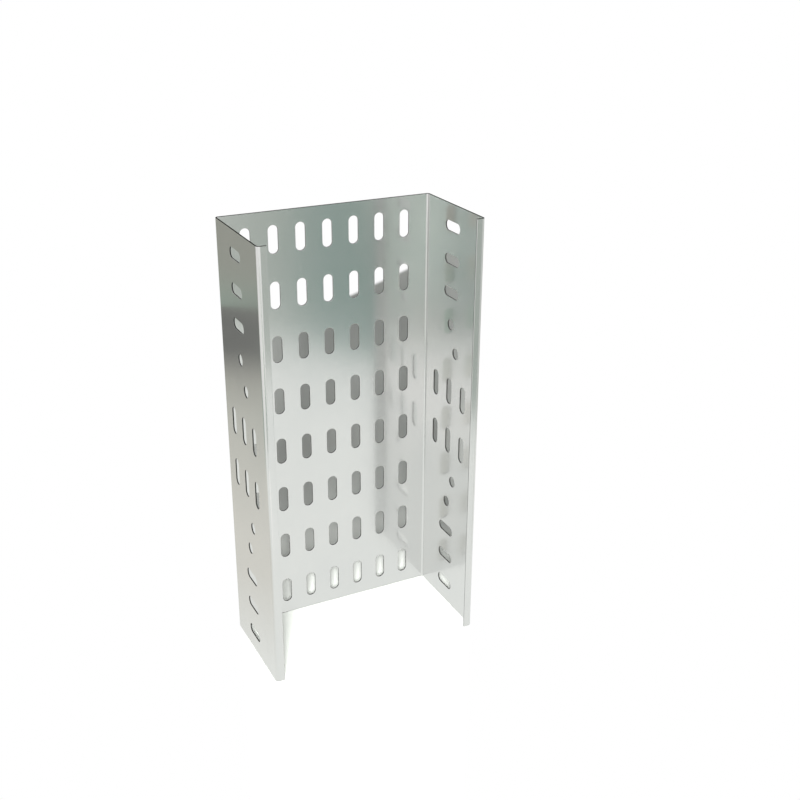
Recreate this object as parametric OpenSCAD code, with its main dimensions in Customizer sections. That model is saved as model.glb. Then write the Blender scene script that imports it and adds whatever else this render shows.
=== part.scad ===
// Perforated cable tray: one steel sheet, punched and folded into a channel with inward lips.
// It stands on end. The base is at the back (+Y), the open mouth at the front (-Y), and its length runs up Z.

/* [Channel] */
// Outside width across the base
tray_w = 200; // [150:5:300]
// Outside height of the side walls, from the base to the face of the lips
wall_h = 100; // [80:5:150]
// Length of the tray
tray_len = 400; // [300:10:1000]
// Width of each lip, from the outside of its wall to its edge
lip_w = 8; // [6:0.5:15]
// Thickness of the sheet
sheet_t = 1.2; // [0.8:0.1:2]
// Inside radius of the four bends
bend_r = 1.8; // [1:0.1:3]

/* [Slots] */
// Width of every slot
slot_w = 9; // [6:0.5:11]
// Length of every slot over its round ends
slot_len = 25; // [15:1:32]
// Spacing of the slots across the sheet
pitch_across = 25; // [20:1:40]
// Spacing of the slots along the tray
pitch_along = 50; // [40:1:80]
// Least distance from an edge of the base to the middle of a slot
base_margin = 25; // [20:1:40]

/* [Side walls] */
// Height of the middle line of holes above the outside of the base
hole_line_h = 47.5; // [40:0.5:60]
// Distance from each end of the tray to the first cross slot
cross_start = 20; // [15:1:30]
// Spacing of the cross slots and of the line hole that ends their row
cross_pitch = 30; // [20:1:40]
// Diameter of the round holes
hole_d = 10; // [6:0.5:12]
// Distance along the tray from the line hole to the raised hole
raised_step = 25; // [15:1:40]
// Height of the raised hole above the middle line
raised_h = 10; // [5:0.5:20]
// Least sheet left between a hole in a wall and a bend or the next group of holes
web = 10; // [5:0.5:15]

/* [Hidden] */
$fn = 48;

bend_out = bend_r + sheet_t;
half_len = tray_len / 2;
// How far a punch runs past both faces of the sheet
punch_over = 1;

// Places of a row of holes that is centred on zero and fits into a span
function centred(span, pitch) =
    let (gaps = floor(span / pitch))
    [for (i = [0:1:gaps]) (i - gaps / 2) * pitch];

base_columns = centred(tray_w - 2 * base_margin, pitch_across);
base_rows = centred(tray_len - 2 * base_margin, pitch_along);

// Heights of the lengthwise slots in a wall: every step from the middle line that stays clear of both bends
wall_low = bend_out + web + slot_w / 2;
wall_high = wall_h - wall_low;
wall_columns = [
    for (i = [ceil((wall_low - hole_line_h) / pitch_across):1:floor((wall_high - hole_line_h) / pitch_across)])
        hole_line_h + i * pitch_across
];

// Two rows of lengthwise slots sit astride mid-length, and the end groups fill what is left of each half
middle_reach = (pitch_along + slot_len) / 2;
cross_room = half_len - middle_reach - web - hole_d / 2 - raised_step;
cross_count = floor((cross_room - cross_start) / cross_pitch);
cross_places = [for (i = [0:1:cross_count - 1]) cross_start + i * cross_pitch];
line_hole_at = cross_start + cross_count * cross_pitch;
raised_hole_at = line_hole_at + raised_step;

module rounded_rectangle(w, h, r) {
    square([w - 2 * r, h], center = true);
    square([w, h - 2 * r], center = true);
    for (x = [-1, 1], y = [-1, 1])
        translate([x * (w / 2 - r), y * (h / 2 - r)])
            circle(r);
}

// Section of the folded sheet: a box section of one thickness, open at the front between the lips
module folded_section() {
    difference() {
        rounded_rectangle(tray_w, wall_h, bend_out);
        rounded_rectangle(tray_w - 2 * sheet_t, wall_h - 2 * sheet_t, bend_r);
        translate([0, -wall_h / 2])
            square([tray_w - 2 * lip_w, 2 * bend_out], center = true);
    }
}

// Outline of a slot that stands upright, with round ends
module slot_outline() {
    straight = slot_len - slot_w;
    square([slot_w, straight], center = true);
    for (end = [-1, 1])
        translate([0, end * straight / 2])
            circle(d = slot_w);
}

// Punches the outline through the base, at a place across it and a height
module punch_base(across, up) {
    translate([across, (wall_h - sheet_t) / 2, up])
        rotate([90, 0, 0])
            linear_extrude(height = sheet_t + 2 * punch_over, center = true)
                children();
}

// Punches the outline through both side walls, at a distance from the base and a height
module punch_walls(from_base, up) {
    translate([0, wall_h / 2 - from_base, up])
        rotate([90, 0, 90])
            linear_extrude(height = tray_w + 2 * punch_over, center = true)
                children();
}

module base_slots() {
    for (across = base_columns, along = base_rows)
        punch_base(across, half_len + along)
            slot_outline();
}

module wall_holes() {
    for (from_base = wall_columns, end = [-1, 1])
        punch_walls(from_base, half_len + end * pitch_along / 2)
            slot_outline();
    for (end = [-1, 1]) {
        for (place = cross_places)
            punch_walls(hole_line_h, half_len + end * (half_len - place))
                rotate(90)
                    slot_outline();
        punch_walls(hole_line_h, half_len + end * (half_len - line_hole_at))
            circle(d = hole_d);
        punch_walls(hole_line_h + raised_h, half_len + end * (half_len - raised_hole_at))
            circle(d = hole_d);
    }
}

module tray() {
    color([0.76, 0.77, 0.76])
        difference() {
            linear_extrude(height = tray_len)
                folded_section();
            base_slots();
            wall_holes();
        }
}

tray();
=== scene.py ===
import math

import bmesh
import bpy
from mathutils import Matrix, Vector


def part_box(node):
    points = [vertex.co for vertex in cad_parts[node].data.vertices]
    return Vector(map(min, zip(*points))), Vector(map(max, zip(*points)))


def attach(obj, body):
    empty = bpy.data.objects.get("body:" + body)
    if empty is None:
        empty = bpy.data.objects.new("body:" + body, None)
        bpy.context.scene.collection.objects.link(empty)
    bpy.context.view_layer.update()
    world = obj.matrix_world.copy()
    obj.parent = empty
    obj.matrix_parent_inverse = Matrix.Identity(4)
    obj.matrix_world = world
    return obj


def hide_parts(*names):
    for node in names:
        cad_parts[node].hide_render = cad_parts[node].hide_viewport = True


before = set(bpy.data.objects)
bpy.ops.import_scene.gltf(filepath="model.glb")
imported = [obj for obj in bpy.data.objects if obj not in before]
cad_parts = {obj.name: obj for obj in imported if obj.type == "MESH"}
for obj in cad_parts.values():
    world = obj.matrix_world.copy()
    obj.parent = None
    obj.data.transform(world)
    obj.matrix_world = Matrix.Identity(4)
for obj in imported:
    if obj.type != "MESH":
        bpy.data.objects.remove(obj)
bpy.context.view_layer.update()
scene = bpy.context.scene
scene.view_settings.view_transform = "Standard"

# Tray: one strip of zinc-coated steel sheet. The strip is punched while it lies flat, then folded along four
# lines, first the lips and then the side walls, so that base, walls and lips are one piece with round bends.
# It is modelled in the same order: flat strip, punched holes, thickness, folds, and last stood on its end.
tray_low, tray_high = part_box("tray")
TRAY_W = tray_high[0] - tray_low[0]
WALL_H = tray_high[1] - tray_low[1]
TRAY_LEN = tray_high[2] - tray_low[2]
SHEET_T = 0.0012
BEND_R = 0.0018
BEND_OUT = BEND_R + SHEET_T
LIP_W = 0.008

# Where the bends start and end, measured from the middle of the flat strip
QUARTER_TURN = math.pi / 2
BEND_ARC = (BEND_R + SHEET_T / 2) * QUARTER_TURN
BASE_HALF = TRAY_W / 2 - BEND_OUT
WALL_FLAT = WALL_H - 2 * BEND_OUT
WALL_START = BASE_HALF + BEND_ARC
LIP_FOLD = WALL_START + WALL_FLAT
LIP_START = LIP_FOLD + BEND_ARC
LIP_END = LIP_START + LIP_W - BEND_OUT

# Slots: their size and spacing on base and walls, and how many columns and rows of them the base has
SLOT_W = 0.009
SLOT_LEN = 0.025
SLOT_PULL = SLOT_LEN - SLOT_W
PITCH_ACROSS = 0.025
PITCH_ALONG = 0.050
COLUMN_COUNT = 7
ROW_COUNT = 8

# Holes of a wall: their middle line's height over the outside of the base, and places from the nearer end
HOLE_LINE_H = 0.0475
HOLE_LINE = WALL_START + HOLE_LINE_H - BEND_OUT
HOLE_D = 0.010
CROSS_ENDS = [0.020, 0.050, 0.080]
LINE_HOLE_END = 0.110
RAISED_HOLE_END = 0.135
RAISED_H = 0.010

# With this count of corners, none lies on the line where a ring is pulled apart into a slot
HOLE_CORNERS = 50
RIM_W = 0.0008
BEND_STEPS = 14
EDGE_ROUND = 0.00035
EDGE_STEPS = 3
SHARP_ANGLE = math.radians(60)
MERGE_DIST = 0.000001

# A cut shows bare steel. At a hole the zinc reaches a little way round the edge, at a lip right round it,
# and at the sheared ends not at all. So a face counts as cut if it lies less level in the flat strip than
# these values
ZINC, CUT_EDGE = 0, 1
END_CUT, HOLE_CUT, LIP_CUT = 0.9999, 0.95, 0.2


def centred(count, pitch):
    """Gives the places of a row of holes that is centred on the strip."""
    return [(step - (count - 1) / 2) * pitch for step in range(count)]


def punch(strip, across, along, width, pull=0.0, turn=0.0):
    """Makes the rim of one hole in the flat strip and returns the rim's outer edges."""
    rings = []
    for radius in (width / 2, width / 2 + RIM_W):
        ring = bmesh.ops.create_circle(strip, segments=HOLE_CORNERS, radius=radius)["verts"]
        for vert in ring:
            vert.co.y += math.copysign(pull / 2, vert.co.y)
        bmesh.ops.rotate(strip, verts=ring, matrix=Matrix.Rotation(turn, 3, "Z"))
        bmesh.ops.translate(strip, verts=ring, vec=(across, along, 0))
        rings.append(list(dict.fromkeys(edge for vert in ring for edge in vert.link_edges)))
    bmesh.ops.bridge_loops(strip, edges=rings[0] + rings[1])
    return rings[1]


def fill_panel(strip, left, right, rims):
    """Fills one flat panel of the strip between its bend lines, round the rims of its holes."""
    corners = [(left, -1), (right, -1), (right, 1), (left, 1)]
    border = [strip.verts.new((x, end * TRAY_LEN / 2, 0)) for x, end in corners]
    edges = [strip.edges.new((border[i - 1], border[i])) for i in range(4)]
    bmesh.ops.triangle_fill(strip, use_beauty=True, edges=edges + rims, normal=(0, 0, 1))


def plain_strip(strip, left, right, steps):
    """Adds a stretch of the strip that has no holes, cut lengthwise into steps."""
    place = Matrix.Translation(((left + right) / 2, 0, 0))
    size = Matrix.Diagonal((right - left, TRAY_LEN, 1, 1))
    bmesh.ops.create_grid(strip, x_segments=steps, y_segments=1, size=0.5, matrix=place @ size)


def fold(strip, line):
    """Bends all that lies past a line on either side up by a right angle, round the bend's own axis."""
    for vert in strip.verts:
        past = abs(vert.co.x) - line
        if past <= 0:
            continue
        turn = min(past / BEND_ARC, 1.0) * QUARTER_TURN
        beyond = max(past - BEND_ARC, 0.0)
        reach = BEND_OUT - vert.co.z
        across = line + reach * math.sin(turn) + beyond * math.cos(turn)
        vert.co.x = math.copysign(across, vert.co.x)
        vert.co.z = BEND_OUT - reach * math.cos(turn) + beyond * math.sin(turn)


def add_to_scene(name, shape):
    """Makes a finished shape an object of the scene and returns the object."""
    mesh = bpy.data.meshes.new(name)
    shape.to_mesh(mesh)
    shape.free()
    made = bpy.data.objects.new(name, mesh)
    scene.collection.objects.link(made)
    return made


strip = bmesh.new()
base_rims = []
for across in centred(COLUMN_COUNT, PITCH_ACROSS):
    for along in centred(ROW_COUNT, PITCH_ALONG):
        base_rims += punch(strip, across, along, SLOT_W, SLOT_PULL)
fill_panel(strip, -BASE_HALF, BASE_HALF, base_rims)

for side in (-1, 1):
    wall_rims = []
    for end in (-1, 1):
        for step in (-1, 0, 1):
            across = side * (HOLE_LINE + step * PITCH_ACROSS)
            wall_rims += punch(strip, across, end * PITCH_ALONG / 2, SLOT_W, SLOT_PULL)
        for place in CROSS_ENDS:
            along = end * (TRAY_LEN / 2 - place)
            wall_rims += punch(strip, side * HOLE_LINE, along, SLOT_W, SLOT_PULL, QUARTER_TURN)
        along = end * (TRAY_LEN / 2 - LINE_HOLE_END)
        wall_rims += punch(strip, side * HOLE_LINE, along, HOLE_D)
        along = end * (TRAY_LEN / 2 - RAISED_HOLE_END)
        wall_rims += punch(strip, side * (HOLE_LINE + RAISED_H), along, HOLE_D)
    fill_panel(strip, *sorted((side * WALL_START, side * LIP_FOLD)), wall_rims)
    plain_strip(strip, *sorted((side * BASE_HALF, side * WALL_START)), BEND_STEPS)
    plain_strip(strip, *sorted((side * LIP_FOLD, side * LIP_START)), BEND_STEPS)
    plain_strip(strip, *sorted((side * LIP_START, side * LIP_END)), 1)

bmesh.ops.remove_doubles(strip, verts=strip.verts, dist=MERGE_DIST)
raised = bmesh.ops.extrude_face_region(strip, geom=strip.faces[:])["geom"]
raised_verts = [part for part in raised if isinstance(part, bmesh.types.BMVert)]
bmesh.ops.translate(strip, verts=raised_verts, vec=(0, 0, SHEET_T))
bmesh.ops.recalc_face_normals(strip, faces=strip.faces)
sharp_edges = [edge for edge in strip.edges if edge.calc_face_angle() > SHARP_ANGLE]
bmesh.ops.bevel(
    strip,
    geom=sharp_edges,
    offset=EDGE_ROUND,
    offset_type="OFFSET",
    segments=EDGE_STEPS,
    profile=0.5,
    affect="EDGES",
    clamp_overlap=True,
    material=-1,
)
strip.normal_update()
for face in strip.faces:
    middle = face.calc_center_median()
    across = abs(middle.x)
    in_bend = BASE_HALF < across < WALL_START or LIP_FOLD < across < LIP_START
    level = abs(face.normal.z)
    face.smooth = in_bend or level < END_CUT
    cut_level = HOLE_CUT
    if abs(middle.y) > TRAY_LEN / 2 - EDGE_ROUND:
        cut_level = END_CUT
    elif across > LIP_END - EDGE_ROUND:
        cut_level = LIP_CUT
    face.material_index = CUT_EDGE if level < cut_level else ZINC
fold(strip, LIP_FOLD)
fold(strip, BASE_HALF)
bmesh.ops.rotate(strip, verts=strip.verts, matrix=Matrix.Rotation(QUARTER_TURN, 3, "X"))
bmesh.ops.translate(strip, verts=strip.verts, vec=(0, tray_high[1], tray_low[2] + TRAY_LEN / 2))

tray_sheet = add_to_scene("tray_sheet", strip)
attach(tray_sheet, "root")
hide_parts("tray")


def new_material(name):
    """Gives an empty node material, its node tree and the input that takes its surface."""
    material = bpy.data.materials.new(name)
    material.use_nodes = True
    material.node_tree.nodes.clear()
    output = material.node_tree.nodes.new("ShaderNodeOutputMaterial")
    return material, material.node_tree, output.inputs["Surface"]


def add_node(tree, kind, inputs, **settings):
    """Adds a node. Its inputs go by name or number, each as a plain value or as another node's socket."""
    node = tree.nodes.new("ShaderNode" + kind)
    for name, value in settings.items():
        setattr(node, name, value)
    for name, value in inputs.items():
        if isinstance(value, bpy.types.NodeSocket):
            tree.links.new(value, node.inputs[name])
        else:
            node.inputs[name].default_value = value
    return node


# The tray's zinc: small crystals, fine lines from the rolling mill along the length, soft clouds in the
# coating, and a frost of dull specks, too fine to see one by one, that softens what the sheet mirrors
CRYSTAL_SIZE = 0.006
CRYSTAL_SHARE = 0.12
ROLLING_LINES = 700.0
ROLLING_STRETCH = (1, 1, 0.008)
ROLLING_DETAIL = 3.0
LINE_SHARE = 0.35
LINE_DEPTH = 0.000003
CLOUDS = 16.0
CLOUD_DETAIL = 4.0
DULL_LOW, DULL_HIGH = 0.5, 1.0
BRIGHT_TINT = (0.845, 0.845, 0.840, 1)
DULL_TINT = (0.812, 0.816, 0.816, 1)
BRIGHT_ROUGHNESS, DULL_ROUGHNESS = 0.12, 0.17
FROST_GRAIN = 2600.0
FROST_DETAIL = 0.0
FROST_LOW, FROST_HIGH = 0.53, 0.57
FROST_ROUGHNESS = 0.24
SHEET_WAVES = 7.0
WAVE_DETAIL = 1.0
WAVE_DEPTH = 0.00008
GRAIN_STRENGTH = 0.5
GRAIN_TURN = 0.25
zinc, tree, zinc_surface = new_material("galvanised_sheet")
place = add_node(tree, "TexCoord", {}).outputs["Object"]
crystals = add_node(tree, "TexVoronoi", {"Vector": place, "Scale": 1 / CRYSTAL_SIZE})
crystal = add_node(tree, "SeparateColor", {"Color": crystals.outputs["Color"]}).outputs["Red"]
rolled = add_node(tree, "Mapping", {"Vector": place, "Scale": ROLLING_STRETCH}).outputs["Vector"]
lines = add_node(
    tree, "TexNoise", {"Vector": rolled, "Scale": ROLLING_LINES, "Detail": ROLLING_DETAIL}
).outputs["Fac"]
clouds = add_node(
    tree, "TexNoise", {"Vector": place, "Scale": CLOUDS, "Detail": CLOUD_DETAIL}
).outputs["Fac"]
dull = add_node(
    tree, "Math", {0: crystal, 1: CRYSTAL_SHARE, 2: clouds}, operation="MULTIPLY_ADD"
).outputs["Value"]
dull = add_node(tree, "Math", {0: lines, 1: LINE_SHARE, 2: dull}, operation="MULTIPLY_ADD").outputs["Value"]
dull = add_node(
    tree, "MapRange", {"Value": dull, "From Min": DULL_LOW, "From Max": DULL_HIGH}
).outputs["Result"]
tint = add_node(
    tree, "Mix", {"Factor": dull, "A": BRIGHT_TINT, "B": DULL_TINT}, data_type="RGBA"
).outputs["Result"]
gloss = add_node(
    tree, "MapRange", {"Value": dull, "To Min": BRIGHT_ROUGHNESS, "To Max": DULL_ROUGHNESS}
).outputs["Result"]
frost = add_node(
    tree, "TexNoise", {"Vector": place, "Scale": FROST_GRAIN, "Detail": FROST_DETAIL}
).outputs["Fac"]
gloss = add_node(
    tree,
    "MapRange",
    {
        "Value": frost,
        "From Min": FROST_LOW,
        "From Max": FROST_HIGH,
        "To Min": gloss,
        "To Max": FROST_ROUGHNESS,
    },
).outputs["Result"]
waves = add_node(
    tree, "TexNoise", {"Vector": place, "Scale": SHEET_WAVES, "Detail": WAVE_DETAIL}
).outputs["Fac"]
wavy = add_node(tree, "Bump", {"Height": waves, "Distance": WAVE_DEPTH}).outputs["Normal"]
lined = add_node(tree, "Bump", {"Height": lines, "Distance": LINE_DEPTH, "Normal": wavy}).outputs["Normal"]
metal = add_node(
    tree,
    "BsdfPrincipled",
    {
        "Metallic": 1.0,
        "Base Color": tint,
        "Roughness": gloss,
        "Anisotropic": GRAIN_STRENGTH,
        "Anisotropic Rotation": GRAIN_TURN,
        "Normal": lined,
    },
)
tree.links.new(metal.outputs["BSDF"], zinc_surface)
tray_sheet.data.materials.append(zinc)

# The tray's cut edges: bare steel with a fine grain, torn by the punch and the shear, so that it is duller
# and darker than the zinc. Its tints are far darker than bare steel, as painted shade for the dark rims of
# the holes and the dark sheared ends.
TORN_GRAIN = 2200.0
TORN_DETAIL = 2.0
TORN_DEPTH = 0.00001
STEEL_AND_SHADE_DARK = (0.03, 0.03, 0.029, 1)
STEEL_AND_SHADE_LIGHT = (0.09, 0.09, 0.087, 1)
TORN_SMOOTH, TORN_ROUGH = 0.35, 0.55
cut_steel_and_shade, tree, cut_surface = new_material("cut_edge")
place = add_node(tree, "TexCoord", {}).outputs["Object"]
torn = add_node(
    tree, "TexNoise", {"Vector": place, "Scale": TORN_GRAIN, "Detail": TORN_DETAIL}
).outputs["Fac"]
tint = add_node(
    tree, "Mix", {"Factor": torn, "A": STEEL_AND_SHADE_DARK, "B": STEEL_AND_SHADE_LIGHT}, data_type="RGBA"
).outputs["Result"]
gloss = add_node(
    tree, "MapRange", {"Value": torn, "To Min": TORN_SMOOTH, "To Max": TORN_ROUGH}
).outputs["Result"]
rough = add_node(tree, "Bump", {"Height": torn, "Distance": TORN_DEPTH}).outputs["Normal"]
metal = add_node(
    tree,
    "BsdfPrincipled",
    {"Metallic": 1.0, "Base Color": tint, "Roughness": gloss, "Normal": rough},
)
tree.links.new(metal.outputs["BSDF"], cut_surface)
tray_sheet.data.materials.append(cut_steel_and_shade)

# Floor: a plain pale studio floor that takes the tray's soft shadow. Round the patch where the shadow lies
# it fades into the white backdrop, and that white shows to the camera, in reflections and through gaps.
FLOOR_R = 12.0
FLOOR_DROP = 0.0002
DISC_CORNERS = 96
FLOOR_PALE = (0.88, 0.91, 0.86, 1)
STUDIO_WHITE = (1, 1, 1, 1)
# Sides of the patch: the direction each faces, in degrees from +X, and how far it is from the tray's middle
PATCH_SIDES = [(-90, 0.300), (-31.2, 0.111), (121.0, 0.585), (162.7, 0.110)]
PATCH_FADE = 0.015


def floor_disc(name, radius, drop):
    """Lays a round sheet flat, a little below the tray's lower end."""
    disc = bmesh.new()
    bmesh.ops.create_circle(disc, cap_ends=True, segments=DISC_CORNERS, radius=radius)
    bmesh.ops.translate(disc, verts=disc.verts, vec=(0, 0, tray_low[2] - drop))
    return add_to_scene(name, disc)


def largest(tree, values):
    """Gives the largest of several values."""
    top = values[0]
    for value in values[1:]:
        top = add_node(tree, "Math", {0: top, 1: value}, operation="MAXIMUM").outputs["Value"]
    return top


def seen_by_eye(tree):
    """Gives 1 on rays from the camera, off a gloss or through glass, and 0 on rays that only light."""
    rays = add_node(tree, "LightPath", {}).outputs
    return largest(tree, [rays["Is Camera Ray"], rays["Is Glossy Ray"], rays["Is Transmission Ray"]])


def how_far(tree, facing):
    """Gives how far a point of the floor lies from the tray's middle in a direction, in degrees from +X."""
    place = add_node(tree, "TexCoord", {}).outputs["Object"]
    outward = (math.cos(math.radians(facing)), math.sin(math.radians(facing)), 0)
    return add_node(tree, "VectorMath", {0: place, 1: outward}, operation="DOT_PRODUCT").outputs["Value"]


floor = floor_disc("floor", FLOOR_R, FLOOR_DROP)
floor_paint, tree, floor_surface = new_material("floor_paint")
past_sides = []
for facing, reach in PATCH_SIDES:
    away = how_far(tree, facing)
    past = add_node(tree, "Math", {0: away, 1: reach}, operation="SUBTRACT").outputs["Value"]
    past_sides.append(past)
fade = add_node(
    tree,
    "MapRange",
    {"Value": largest(tree, past_sides), "From Min": -PATCH_FADE, "From Max": 0.0},
    interpolation_type="SMOOTHSTEP",
).outputs["Result"]
shown = add_node(tree, "Math", {0: fade, 1: seen_by_eye(tree)}, operation="MULTIPLY").outputs["Value"]
paint = add_node(tree, "BsdfDiffuse", {"Color": FLOOR_PALE}).outputs["BSDF"]
white = add_node(tree, "Emission", {"Color": STUDIO_WHITE}).outputs["Emission"]
blend = add_node(tree, "MixShader", {"Fac": shown, 1: paint, 2: white}).outputs["Shader"]
tree.links.new(blend, floor_surface)
floor.data.materials.append(floor_paint)

# Table and room: what the bright sheet mirrors. A pale table top lies round the tray, lit in front of it and
# shaded behind it, and past the table's edges lies the grey of the room. All of it is one flat sheet of
# glowing tones just above the floor, which shows only in the metal, so its light and shade are painted: a
# painted pool of light in front of the tray, the tray's painted shadow behind it, and painted shade that
# makes the table darker towards its back left.
ROOM_R = 9.0
ROOM_DROP = 0.0001
# The lit tone is a painted pool of light, and the shaded one is the tray's painted shadow
LIT_TOP = (1.0, 1.0, 0.97)
PALE_TOP = (0.86, 0.88, 0.85)
# The cream tone is the pale table top darkened by painted shade, as the light falls off towards the back
# left
CREAM_IN_SHADE_TOP = (0.71, 0.70, 0.645)
SHADED_TOP = (0.56, 0.57, 0.53)
DIM_TOP = (0.42, 0.42, 0.38)
ROOM_LIGHT = (1.0, 1.0, 0.93)
ROOM_GLEAM = (0.93, 1.04, 0.95)
ROOM_WHITE = (0.73, 0.75, 0.71)
ROOM_WARM = (0.39, 0.43, 0.39)
ROOM_GREY = (0.295, 0.365, 0.315)
ROOM_DIM = (0.33, 0.335, 0.295)
ROOM_GREEN = (0.215, 0.30, 0.272)
ROOM_DARK = (0.08, 0.13, 0.115)
# Bands of tone across the sheet: the direction they follow each other in, in degrees from +X, and how far
# along it, from the tray's middle, each tone lies
TABLE_FACING = -34.8
TABLE_BANDS = [
    (-1.02, ROOM_DIM),
    (-0.90, ROOM_GREY),
    (-0.60, ROOM_GREY),
    (-0.45, CREAM_IN_SHADE_TOP),
    (-0.20, CREAM_IN_SHADE_TOP),
    (-0.05, PALE_TOP),
]
LIT_BANDS = [
    (-0.02, PALE_TOP),
    (0.02, LIT_TOP),
    (0.17, LIT_TOP),
    (0.21, PALE_TOP),
]
FRONT_FACING = -29.7
GAP_BANDS = [
    (-0.12, ROOM_WHITE),
    (-0.06, ROOM_DARK),
    (0.035, ROOM_DARK),
    (0.07, DIM_TOP),
    (0.13, DIM_TOP),
    (0.17, ROOM_GREEN),
    (0.23, ROOM_GREEN),
    (0.28, ROOM_WHITE),
]
FRONT_BANDS = [
    (-0.60, ROOM_DIM),
    (-0.50, ROOM_LIGHT),
    (-0.20, ROOM_LIGHT),
    (-0.12, ROOM_WHITE),
    (-0.06, ROOM_GREEN),
    (0.042, ROOM_GREEN),
    (0.082, ROOM_GLEAM),
    (0.122, ROOM_GLEAM),
    (0.152, ROOM_GREY),
    (0.23, ROOM_GREY),
    (0.28, ROOM_WHITE),
    (0.34, ROOM_LIGHT),
]
RIGHT_FACING = 22.3
RIGHT_BANDS = [
    (-0.27, ROOM_WHITE),
    (-0.21, ROOM_WARM),
    (-0.075, ROOM_WARM),
    (0.02, ROOM_GREEN),
    (0.11, ROOM_GREEN),
    (0.16, ROOM_WARM),
]
# Edges between these zones: the direction each faces, its distance from the tray's middle, and half its blur
# The first three edges bound the tray's painted shadow behind it, and LIT_EDGE the painted pool of light in
# front of it
SHADE_SIDE = (24.3, 0.02, 0.03)
SHADE_END = (145.2, 0.55, 0.06)
BEHIND_EDGE = (90, 0.065, 0.01)
LIT_EDGE = (-124.8, 0.26, 0.05)
GAP_EDGE = (-124.8, 0.61, 0.015)
FRONT_EDGE = (-124.8, 0.80, 0.08)
RIGHT_EDGE = (TABLE_FACING, 0.56, 0.02)


def reflected_only(stage_object):
    """Keeps a stage object out of the picture and off the floor's light: it shows only in the metal."""
    stage_object.visible_camera = False
    stage_object.visible_diffuse = False
    stage_object.visible_shadow = False
    stage_object.visible_transmission = False


def tone_bands(tree, way, bands):
    """Gives the colour of bands of tone that follow each other along a way."""
    nearest, farthest = bands[0][0], bands[-1][0]
    share = add_node(
        tree, "MapRange", {"Value": way, "From Min": nearest, "From Max": farthest}
    ).outputs["Result"]
    ramp = add_node(tree, "ValToRGB", {"Fac": share})
    stops = ramp.color_ramp.elements
    for number, (edge, colour) in enumerate(bands):
        # A new ramp has two stops already
        stop = stops[number] if number < 2 else stops.new(1.0)
        stop.position = (edge - nearest) / (farthest - nearest)
        stop.color = (*colour, 1)
    return ramp.outputs["Color"]


def past_edge(tree, edge, before, after):
    """Gives one colour before an edge on the sheet of tones and another after it."""
    facing, reach, blur = edge
    away = how_far(tree, facing)
    share = add_node(
        tree, "MapRange", {"Value": away, "From Min": reach - blur, "From Max": reach + blur}
    ).outputs["Result"]
    mix = add_node(tree, "Mix", {"Factor": share, "A": before, "B": after}, data_type="RGBA")
    return mix.outputs["Result"]


room = floor_disc("table_and_room", ROOM_R, ROOM_DROP)
reflected_only(room)
room_tone, tree, room_surface = new_material("table_and_room")
to_right = how_far(tree, TABLE_FACING)
across_front = how_far(tree, FRONT_FACING)
across_side = how_far(tree, RIGHT_FACING)
tone = tone_bands(tree, to_right, TABLE_BANDS)
# The tray's painted shadow on the table behind it
shaded = past_edge(tree, SHADE_SIDE, tone, (*SHADED_TOP, 1))
shaded = past_edge(tree, SHADE_END, shaded, tone)
tone = past_edge(tree, BEHIND_EDGE, tone, shaded)
# The painted pool of light on the table in front of the tray
tone = past_edge(tree, LIT_EDGE, tone, tone_bands(tree, to_right, LIT_BANDS))
tone = past_edge(tree, GAP_EDGE, tone, tone_bands(tree, across_front, GAP_BANDS))
tone = past_edge(tree, FRONT_EDGE, tone, tone_bands(tree, across_front, FRONT_BANDS))
tone = past_edge(tree, RIGHT_EDGE, tone, tone_bands(tree, across_side, RIGHT_BANDS))
glow = add_node(tree, "Emission", {"Color": tone}).outputs["Emission"]
tree.links.new(glow, room_surface)
room.data.materials.append(room_tone)

# Cards: glowing sheets that show only in the metal. Pale ones round the tray light up its bends and lips,
# and a black one hung behind it keeps the edges that face up dark. Two small ones fade upwards: one beside
# the left wall is darker upwards, painted shade that gives that wall its dark band, and one beside the right
# wall shows through that wall's holes.
WHITE_CARD = (0.84, 0.84, 0.82)
PALE_CARD = (0.71, 0.73, 0.70)
SOFT_CARD = (0.54, 0.54, 0.49)
GREY_CARD = (0.51, 0.53, 0.51)
DARK_CARD = (0.17, 0.173, 0.164)
BLACK_CARD = (0.02, 0.02, 0.02)
# Tones of the cards that fade, each with its height over the floor
# The left card goes from the table's tone to dark upwards: painted shade
LEFT_FADE = [(0.0, CREAM_IN_SHADE_TOP), (0.15, SOFT_CARD), (0.187, DIM_TOP), (0.222, DARK_CARD)]
RIGHT_FADE = [(0.17, PALE_CARD), (0.23, GREY_CARD)]


def studio_card(name, tone, azimuth, distance, width, height, foot=0.0):
    """Stands a card facing the tray, at an angle from straight in front, positive to the right.

    Returns the card's node tree and the input that takes its tone.
    """
    shape = bmesh.new()
    size = Matrix.Diagonal((width, height, 1, 1))
    upright = Matrix.Translation((0, -distance, foot + height / 2)) @ Matrix.Rotation(-QUARTER_TURN, 4, "X")
    turn = Matrix.Rotation(math.radians(azimuth), 4, "Z")
    bmesh.ops.create_grid(shape, x_segments=1, y_segments=1, size=0.5, matrix=turn @ upright @ size)
    card = add_to_scene(name, shape)
    reflected_only(card)
    paper, tree, surface = new_material(name)
    glow = add_node(tree, "Emission", {"Color": (*tone, 1)})
    tree.links.new(glow.outputs["Emission"], surface)
    card.data.materials.append(paper)
    return tree, glow.inputs["Color"]


def fade_upwards(card, bands):
    """Gives a card bands of tone that follow each other upwards."""
    tree, paper_tone = card
    place = add_node(tree, "TexCoord", {}).outputs["Object"]
    height = add_node(tree, "SeparateXYZ", {"Vector": place}).outputs["Z"]
    tree.links.new(tone_bands(tree, height, bands), paper_tone)


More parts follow.
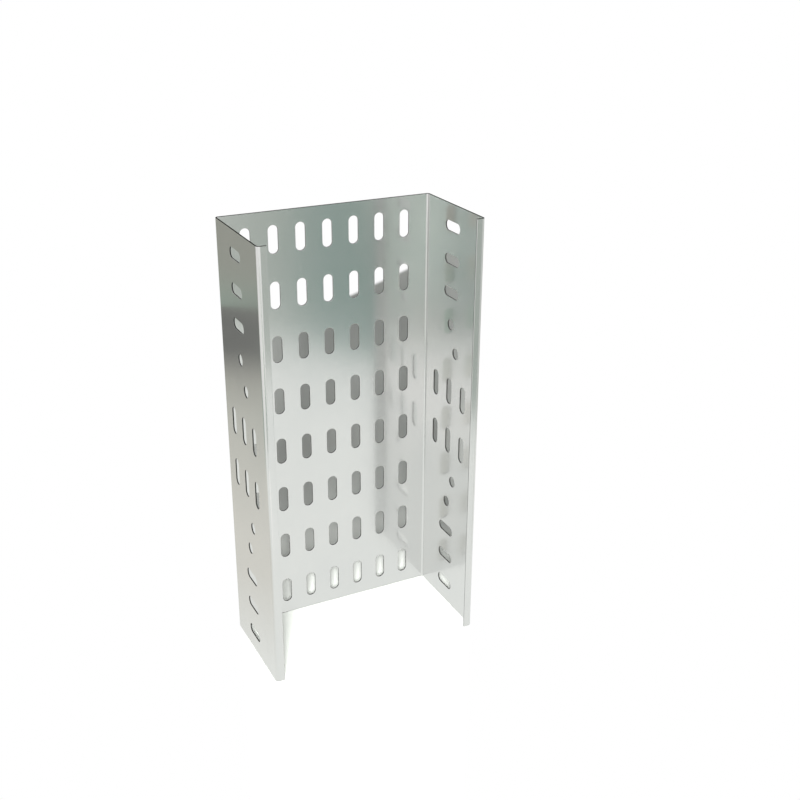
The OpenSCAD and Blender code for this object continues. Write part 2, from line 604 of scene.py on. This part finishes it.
studio_card("card_left", WHITE_CARD, azimuth=-85, distance=0.75, width=1.2, height=0.9)
studio_card("card_front", WHITE_CARD, azimuth=-3, distance=1.0, width=0.36, height=0.9)
studio_card("card_right", PALE_CARD, azimuth=62, distance=0.8, width=0.7, height=0.9)
studio_card("card_black", BLACK_CARD, azimuth=153, distance=1.5, width=3.4, height=2.2, foot=0.45)
fading = studio_card("card_fading", DARK_CARD, azimuth=-141, distance=0.2534, width=0.1, height=0.268)
fade_upwards(fading, LEFT_FADE)
beside = studio_card("card_beside", PALE_CARD, azimuth=53, distance=0.219, width=0.043, height=0.5)
fade_upwards(beside, RIGHT_FADE)

# World: white wherever the camera, a reflection or a gap shows it, so that the tray stands before a plain
# white backdrop. For the rest it is a plain low fill of light from all sides.
FILL = 0.22
world = bpy.data.worlds.new("studio")
world.use_nodes = True
scene.world = world
tree = world.node_tree
tree.nodes.clear()
fill = add_node(tree, "Background", {"Color": STUDIO_WHITE, "Strength": FILL}).outputs["Background"]
white = add_node(tree, "Background", {"Color": STUDIO_WHITE, "Strength": 1.0}).outputs["Background"]
sky = add_node(tree, "MixShader", {"Fac": seen_by_eye(tree), 1: fill, 2: white}).outputs["Shader"]
add_node(tree, "OutputWorld", {"Surface": sky})

# Light: one square soft box behind the camera, turned to the tray's middle, so that the tray's shadow falls
# behind it. The box shows neither in the picture nor in the metal.
KEY_AZIMUTH, KEY_ELEVATION = -25.5, 25.4
KEY_DISTANCE = 1.6
KEY_SIZE = 0.3
KEY_POWER = 60
key_lamp = bpy.data.lights.new("key_light", "AREA")
key_lamp.shape = "SQUARE"
key_lamp.size = KEY_SIZE
key_lamp.energy = KEY_POWER
key_light = bpy.data.objects.new("key_light", key_lamp)
swing = Matrix.Rotation(math.radians(KEY_AZIMUTH), 4, "Z")
tilt = swing @ Matrix.Rotation(math.radians(90 - KEY_ELEVATION), 4, "X")
tray_middle = Matrix.Translation((0, 0, TRAY_LEN / 2))
key_light.matrix_world = tray_middle @ tilt @ Matrix.Translation((0, 0, KEY_DISTANCE))
key_light.visible_camera = False
key_light.visible_glossy = False
scene.collection.objects.link(key_light)

# Camera: at the photograph's angle, above the tray's front left and about a metre away, with the whole tray
# in view. Its turn is given in degrees.
CAMERA_SENSOR = 36
CAMERA_LENS = 50.805
CAMERA_PLACE = (-0.3751, -0.8332, 0.6330)
CAMERA_TURN = (66.503, -0.307, -26.735)
camera_data = bpy.data.cameras.new("camera")
camera_data.sensor_width = CAMERA_SENSOR
camera_data.lens = CAMERA_LENS
camera = bpy.data.objects.new("camera", camera_data)
camera.location = CAMERA_PLACE
camera.rotation_euler = [math.radians(angle) for angle in CAMERA_TURN]
scene.collection.objects.link(camera)
scene.camera = camera
